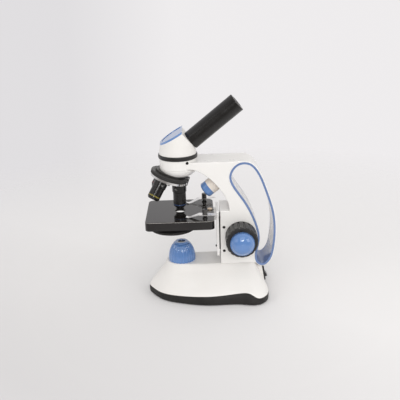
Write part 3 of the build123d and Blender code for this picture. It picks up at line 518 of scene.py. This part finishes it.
# %% Cell wrap
cell_wrap = new_finish("cell_wrap")
tone(cell_wrap, cloud(cell_wrap, 60), (0.05, 0.055, 0.065), (0.075, 0.08, 0.09))
gloss(cell_wrap, cloud(cell_wrap, 140), 0.25, 0.42)
relief(cell_wrap, cloud(cell_wrap, 400, 2), 0.00002, 0.3)
dress(cell_wrap, "battery_cells")

# %% [markdown]
# ## Tools for the new pieces
# A new piece starts from a primitive at its size and place. Its faces are picked in code by where
# they are, and shaped by the same operators that a hand would use. When it is done its place goes
# into the mesh, so the object sits at the origin as every loaded piece does.

# %% Modelling tools
SMOOTH_ANGLE = math.radians(35)


def clear_selection():
    """Leave edit mode and select nothing, so that an operator meets only what comes next."""
    if bpy.context.mode != "OBJECT":
        bpy.ops.object.mode_set(mode="OBJECT")
    bpy.ops.object.select_all(action="DESELECT")


def pick_faces(piece, wanted):
    """Go to edit mode with only the wanted faces selected."""
    bpy.ops.object.mode_set(mode="EDIT")
    bpy.ops.mesh.select_mode(type="FACE")
    bpy.ops.mesh.select_all(action="DESELECT")
    bpy.ops.object.mode_set(mode="OBJECT")
    for face in piece.data.polygons:
        face.select = wanted(face)
    bpy.ops.object.mode_set(mode="EDIT")


def apply_modifiers(piece):
    """Make the modifiers of the active piece part of its mesh."""
    for modifier in list(piece.modifiers):
        bpy.ops.object.modifier_apply(modifier=modifier.name)


def keep_piece(piece, name, body, finish):
    """Put the place into the mesh, then name, dress and carry the piece."""
    clear_selection()
    piece.select_set(True)
    bpy.context.view_layer.objects.active = piece
    bpy.ops.object.transform_apply(location=True, rotation=True, scale=True)
    bpy.ops.object.shade_smooth_by_angle(angle=SMOOTH_ANGLE)
    piece.name = name
    piece.data.name = name
    piece.data.materials.clear()
    piece.data.materials.append(finish)
    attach(piece, body)
    print(name, "rides", body, "with", len(piece.data.polygons), "faces")


# %% [markdown]
# ## Where the objectives point
# The three objectives stand on a cone round the turret's leaning axis, and all their axes meet in one
# apex high in the head. Bands and numbers are placed along these axes, so they are worked out first,
# from the same lean and apex as the solids.

# %% Objective axes
APEX = Vector((-40.5, 0, 200.8)) * MM
TURRET_LEAN = math.radians(20.0)
TURRET_DOWN = Vector((-math.sin(TURRET_LEAN), 0, -math.cos(TURRET_LEAN)))
TURRET_ACROSS = Vector((math.cos(TURRET_LEAN), 0, -math.sin(TURRET_LEAN)))
OBJECTIVE_TURNS = {"high": 0, "mid": 120, "low": 240}


def objective_axis(power):
    """Unit vector from the apex down one objective."""
    swing = math.radians(OBJECTIVE_TURNS[power])
    sideways = TURRET_ACROSS * math.cos(swing) + TURRET_DOWN.cross(TURRET_ACROSS) * math.sin(swing)
    return TURRET_DOWN * math.cos(TURRET_LEAN) + sideways * math.sin(TURRET_LEAN)


for power in OBJECTIVE_TURNS:
    print(power, [round(value, 3) for value in objective_axis(power)])

# %% [markdown]
# ## Band enamel
# Objectives carry a colour ring for their power: red for 4, yellow for 10 and blue for 40 times. All
# three are the same enamel in other colours, so one helper makes them.

# %% Band enamel
def band_enamel(name, low_colour, high_colour):
    """Enamel between two tones of one colour."""
    finish = new_finish(name, coat=0.3)
    tone(finish, cloud(finish, 400), low_colour, high_colour)
    gloss(finish, cloud(finish, 600), 0.22, 0.4)
    relief(finish, cloud(finish, 2500, 2), 0.00001, 0.3)
    return finish


red_enamel = band_enamel("red_enamel", (0.2, 0.018, 0.015), (0.25, 0.025, 0.02))
yellow_enamel = band_enamel("yellow_enamel", (0.46, 0.38, 0.05), (0.54, 0.46, 0.07))
blue_enamel = band_enamel("blue_enamel", (0.015, 0.04, 0.12), (0.022, 0.055, 0.15))
print("band enamels", red_enamel.name, yellow_enamel.name, blue_enamel.name)

# %% [markdown]
# ## Colour bands on the objectives
# The grooves are already in the metal, so each band is a ring of enamel that fills one, and the yellow
# one is a pair of thin rings. Start and end are millimetres from the apex. An open cylinder gets its wall
# and soft edges from two modifiers, which is quicker than four loops joined by hand.

# %% Colour bands
BAND_WALL = 0.32 * MM
BAND_SOFTNESS = 0.08 * MM
BAND_SIDES = 96


def add_band(name, power, start, end, outer, finish):
    """A ring of enamel round one objective, from start to end along its axis."""
    axis = objective_axis(power)
    middle = APEX + axis * (start + end) / 2 * MM
    clear_selection()
    bpy.ops.mesh.primitive_cylinder_add(vertices=BAND_SIDES, radius=outer * MM, depth=(end - start) * MM,
                                        end_fill_type="NOTHING", location=middle,
                                        rotation=axis.to_track_quat("Z", "Y").to_euler())
    band = bpy.context.object
    wall = band.modifiers.new("wall", "SOLIDIFY")
    wall.thickness = BAND_WALL
    wall.offset = -1
    edge = band.modifiers.new("edge", "BEVEL")
    edge.width = BAND_SOFTNESS
    edge.segments = 2
    apply_modifiers(band)
    keep_piece(band, name, "turret", finish)


add_band("band_low", "low", 59.05, 60.35, 8.24, red_enamel)
add_band("band_mid_upper", "mid", 66.5, 66.85, 8.34, yellow_enamel)
add_band("band_mid_lower", "mid", 67.35, 67.7, 8.34, yellow_enamel)
add_band("band_high", "high", 73.05, 74.35, 8.64, blue_enamel)

# %% [markdown]
# ## Printed marks
# Objectives have their power printed on the collar, and the power rocker has the usual line and ring.
# A picture texture could do this, but real print stands a hair above the surface, so each mark is text
# made into a mesh, cut finer, pressed on to the piece under it and given a thickness.

# %% Printed marks
MARK_LIFT = 6 * MM
PRINT_THICKNESS = 0.06 * MM
CAP_HEIGHT = 0.7
white_print = new_finish("white_print")
tone(white_print, cloud(white_print, 900), (0.32, 0.315, 0.305), (0.38, 0.375, 0.365))
gloss(white_print, cloud(white_print, 1500), 0.42, 0.6)
print(white_print.name, "stands", PRINT_THICKNESS, "m over a surface")


def add_mark(name, words, height, place, up, outward, under, body):
    """Print a short mark of a given height on the piece under it."""
    clear_selection()
    bpy.ops.object.text_add()
    mark = bpy.context.object
    mark.data.body = words
    mark.data.size = height * MM / CAP_HEIGHT
    mark.data.align_x = "CENTER"
    mark.data.align_y = "CENTER"
    turned = Matrix((up.cross(outward), up, outward)).transposed().to_4x4()
    mark.matrix_world = Matrix.Translation(place + outward * MARK_LIFT) @ turned
    bpy.ops.object.convert(target="MESH")
    bpy.ops.object.mode_set(mode="EDIT")
    bpy.ops.mesh.select_all(action="SELECT")
    bpy.ops.mesh.quads_convert_to_tris()
    bpy.ops.mesh.subdivide(number_cuts=2)
    bpy.ops.object.mode_set(mode="OBJECT")
    press = mark.modifiers.new("press", "SHRINKWRAP")
    press.target = nodes[under]
    press.wrap_method = "PROJECT"
    press.use_project_z = True
    press.use_negative_direction = True
    press.use_positive_direction = False
    ink = mark.modifiers.new("ink", "SOLIDIFY")
    ink.thickness = PRINT_THICKNESS
    ink.offset = 1
    apply_modifiers(mark)
    keep_piece(mark, name, body, white_print)


# %% [markdown]
# ## Numbers on the objectives
# Each number sits on its objective's collar, swung round from the side that faces the viewer. It is laid
# out along that objective's own axis, so it stays upright when the turret brings it forward.

# %% Numbers on the objectives
COLLAR_RADIUS = 9 * MM
NUMBER_HEIGHT = 2.4


def add_number(power, words, reach, swing):
    """A number on an objective's collar, swung round from the side that faces the viewer."""
    axis = objective_axis(power)
    facing = (toward_camera - axis * axis.dot(toward_camera)).normalized()
    outward = Matrix.Rotation(math.radians(swing), 3, axis) @ facing
    place = APEX + axis * reach * MM + outward * COLLAR_RADIUS
    add_mark("number_" + power, words, NUMBER_HEIGHT, place, -axis, outward, "objective_" + power,
             "turret")


add_number("mid", "10", 51.0, -24)
add_number("high", "40", 51.6, 28)
add_number("low", "4", 50.6, 120)

# %% [markdown]
# ## Marks on the rocker
# The rocker leans back with the base's rear wall, so its marks are set out along its own slope. They ride
# on the rocker, and tip with it.

# %% Marks on the rocker
ROCKER_PLACE = Vector((70.65, 0, 23.65)) * MM
ROCKER_LEAN = math.radians(9.3)
ROCKER_OUT = Vector((math.cos(ROCKER_LEAN), 0, math.sin(ROCKER_LEAN)))
ROCKER_UP = Vector((-math.sin(ROCKER_LEAN), 0, math.cos(ROCKER_LEAN)))
ROCKER_MARK_HEIGHT = 3.0
ROCKER_MARK_CLIMB = 4.2 * MM
for name, words, side in (("rocker_line", "I", 1), ("rocker_ring", "O", -1)):
    place = ROCKER_PLACE + ROCKER_UP * ROCKER_MARK_CLIMB * side
    add_mark(name, words, ROCKER_MARK_HEIGHT, place, ROCKER_UP, ROCKER_OUT,
             "switch_rocker", "rocker")

# %% [markdown]
# ## The slide's stop screw
# A small dark screw stands out of the front of the focus slide, near its foot. A cylinder is laid on
# its side, its outer face is inset and pushed in for the driver's socket, and the rims are softened.

# %% Stop screw
SCREW_RADIUS = 1.4 * MM
SCREW_LENGTH = 1.8 * MM
SLIDE_FRONT_X = 7.7 * MM
SCREW_HEIGHT = 64 * MM
SCREW_SUNK = 0.2 * MM
SOCKET_RIM = 0.65 * MM
SOCKET_DEPTH = 0.8 * MM
RIM_SOFTNESS = 0.15 * MM
SCREW_SIDES = 36
clear_selection()
screw_x = SLIDE_FRONT_X + SCREW_SUNK - SCREW_LENGTH / 2
bpy.ops.mesh.primitive_cylinder_add(vertices=SCREW_SIDES, radius=SCREW_RADIUS, depth=SCREW_LENGTH,
                                    location=(screw_x, 0, SCREW_HEIGHT), rotation=(0, -math.pi / 2, 0))
stop_screw = bpy.context.object
pick_faces(stop_screw, lambda face: face.normal.z > 0.9)
bpy.ops.mesh.inset(thickness=SOCKET_RIM)
bpy.ops.mesh.extrude_region_move(TRANSFORM_OT_translate={"value": (SOCKET_DEPTH, 0, 0)})
bpy.ops.object.mode_set(mode="OBJECT")
rim = stop_screw.modifiers.new("rim", "BEVEL")
rim.width = RIM_SOFTNESS
rim.segments = 2
rim.limit_method = "ANGLE"
apply_modifiers(stop_screw)
keep_piece(stop_screw, "slide_stop_screw", "stage", blackened_steel)

# %% [markdown]
# ## The floor
# The microscope stands on a pale sheet of paper. It is not part of the object, and it is large enough that
# no edge of it comes into any view.

# %% Floor
FLOOR_SIZE = 8.0
clear_selection()
bpy.ops.mesh.primitive_plane_add(size=FLOOR_SIZE)
floor = bpy.context.object
floor.name = "studio_floor"
print("floor", FLOOR_SIZE, "m square")

# %% [markdown]
# ## The paper on the floor
# The paper's colour grows paler towards the back right, as it does in the photograph. This is painted
# light, for the light that falls more strongly there. The tone follows one direction across the floor, so
# a dot product of the place with that direction is all it takes.

# %% Floor paper
BRIGHTENS_TOWARD = (0.6, 0.8, 0)
BRIGHTENS_FROM = -0.3
BRIGHTENS_TO = 0.02
PAPER_ROUGHNESS = 0.9
floor_paper = new_finish("floor_paper")
shader_input(floor_paper, "Roughness").default_value = PAPER_ROUGHNESS
shader_input(floor_paper, "Specular IOR Level").default_value = 0.0
across = add_node(floor_paper, "ShaderNodeVectorMath")
across.operation = "DOT_PRODUCT"
across.inputs[1].default_value = BRIGHTENS_TOWARD
wire(floor_paper, own_place(floor_paper), across.inputs[0])
# Painted light: the paper's colour pales towards the back right.
painted_floor_light = fitted(floor_paper, across.outputs["Value"], BRIGHTENS_FROM, BRIGHTENS_TO)
tone(floor_paper, painted_floor_light, (0.72, 0.707, 0.712), (0.90, 0.886, 0.887), 0, 1)
relief(floor_paper, cloud(floor_paper, 40), 0.0005, 0.05)
floor.data.materials.append(floor_paper)
print(floor_paper.name, "on", floor.name)

# %% [markdown]
# ## Fading the floor out
# A real studio sheet curves up behind the object, so no horizon shows. Here the paper turns clear with its
# distance from the object instead, and the background shows through in the same tone.

# %% Floor fade
FADE_FROM = 0.25
FADE_TO = 0.8
distance = add_node(floor_paper, "ShaderNodeVectorMath")
distance.operation = "LENGTH"
wire(floor_paper, own_place(floor_paper), distance.inputs[0])
clear = add_node(floor_paper, "ShaderNodeBsdfTransparent")
blend = add_node(floor_paper, "ShaderNodeMixShader")
wire(floor_paper, fitted(floor_paper, distance.outputs["Value"], FADE_FROM, FADE_TO), blend.inputs[0])
wire(floor_paper, floor_paper.node_tree.nodes["Principled BSDF"].outputs[0], blend.inputs[1])
wire(floor_paper, clear.outputs[0], blend.inputs[2])
wire(floor_paper, blend.outputs[0], floor_paper.node_tree.nodes["Material Output"].inputs["Surface"])
print("floor fades from", FADE_FROM, "to", FADE_TO, "m")

# %% [markdown]
# ## The world
# The world does two jobs: it is the background that is seen, and the even light of the room. These
# helpers add and join its nodes.

# %% World tools
world = bpy.data.worlds.new("studio")
bpy.context.scene.world = world
world.use_nodes = True
world_nodes = world.node_tree.nodes
world_links = world.node_tree.links
world_nodes.clear()
print("world", world.name)


def world_math(operation, first, second):
    """Work out one value from two others."""
    node = world_nodes.new("ShaderNodeMath")
    node.operation = operation
    world_links.new(first, node.inputs[0])
    world_links.new(second, node.inputs[1])
    return node.outputs[0]


def world_span(value, low, high):
    """Stretch a value's range from (low, high) to (0, 1)."""
    node = world_nodes.new("ShaderNodeMapRange")
    node.inputs["From Min"].default_value = low
    node.inputs["From Max"].default_value = high
    world_links.new(value, node.inputs["Value"])
    return node.outputs[0]


def world_mix(factor, second):
    """A mix of two colours, of which the second is given. The first is set by the caller."""
    node = world_nodes.new("ShaderNodeMix")
    node.data_type = "RGBA"
    node.inputs["B"].default_value = second
    world_links.new(factor, node.inputs["Factor"])
    return node


# %% [markdown]
# ## The background
# The background is a pale sheet, a little brighter to the right. Mirrors see it too, but darker towards
# the front, where the room behind the camera would be. Light Path tells which ray is asking, and the
# colour goes by the ray's direction in the room, so it stays put when the camera moves.

# %% Background
LEFT_BACKGROUND = (0.75, 0.735, 0.75, 1)
RIGHT_BACKGROUND = (0.86, 0.842, 0.85, 1)
DARK_FRONT = (0.30, 0.28, 0.27, 1)
LEFT_TO_RIGHT_X = (-0.19, -0.03)
BACK_TO_FRONT_Y = (0.0, -0.6)
path = world_nodes.new("ShaderNodeLightPath")
direction = world_nodes.new("ShaderNodeTexCoord")
split = world_nodes.new("ShaderNodeSeparateXYZ")
world_links.new(direction.outputs["Generated"], split.inputs[0])
paler = world_mix(world_span(split.outputs["X"], *LEFT_TO_RIGHT_X), RIGHT_BACKGROUND)
paler.inputs["A"].default_value = LEFT_BACKGROUND
in_front = world_span(split.outputs["Y"], *BACK_TO_FRONT_Y)
shade = world_mix(world_math("MULTIPLY", in_front, path.outputs["Is Glossy Ray"]), DARK_FRONT)
world_links.new(paler.outputs["Result"], shade.inputs["A"])
backdrop = world_nodes.new("ShaderNodeBackground")
world_links.new(shade.outputs["Result"], backdrop.inputs["Color"])
print("background from", LEFT_BACKGROUND[:3], "to", RIGHT_BACKGROUND[:3])

# %% [markdown]
# ## The room's light
# Camera, mirrors and glass see the background. All other rays get the room's light, at a level where a
# colour renders about as it is written, so a brighter background never means more light on the object.

# %% Room light
WORLD_LIGHT = 0.72
WARM_WHITE = (1, 0.99, 0.975, 1)
light = world_nodes.new("ShaderNodeBackground")
light.inputs["Color"].default_value = WARM_WHITE
light.inputs["Strength"].default_value = WORLD_LIGHT
through = world_math("MAXIMUM", path.outputs["Is Glossy Ray"], path.outputs["Is Transmission Ray"])
seen = world_math("MAXIMUM", path.outputs["Is Camera Ray"], through)
both = world_nodes.new("ShaderNodeMixShader")
world_links.new(seen, both.inputs[0])
world_links.new(light.outputs[0], both.inputs[1])
world_links.new(backdrop.outputs[0], both.inputs[2])
world_links.new(both.outputs[0], world_nodes.new("ShaderNodeOutputWorld").inputs["Surface"])
print("room light", WORLD_LIGHT)

# %% [markdown]
# ## Soft boxes
# A low wide key from the front gives the knobs and the tube their highlights, a large high one lights what
# faces up, and two weak ones open the sides. Area lamps keep the shadows soft. Sizes are in metres.

# %% Soft boxes
def add_softbox(name, place, width, height, power):
    """An area lamp that looks at the middle of the object."""
    lamp = bpy.data.lights.new(name, "AREA")
    lamp.shape = "RECTANGLE"
    lamp.size = width
    lamp.size_y = height
    lamp.energy = power
    box = bpy.data.objects.new(name, lamp)
    bpy.context.scene.collection.objects.link(box)
    box.location = place
    box.rotation_euler = (Vector(place) - AIM).to_track_quat("Z", "Y").to_euler()
    print(name, "at", place, power, "W")


add_softbox("key_softbox", (0.0, -2.4, 1.25), 0.85, 0.42, 13)
add_softbox("high_softbox", (0.1, -1.9, 2.1), 2.0, 2.0, 12)
add_softbox("right_softbox", (1.4, -1.0, 0.9), 0.9, 0.9, 4)
add_softbox("left_softbox", (-1.4, -0.9, 0.9), 0.9, 0.9, 2)

# %% [markdown]
# ## Closing
# The render uses the Standard view transform.

# %% View transform
bpy.context.scene.view_settings.view_transform = "Standard"
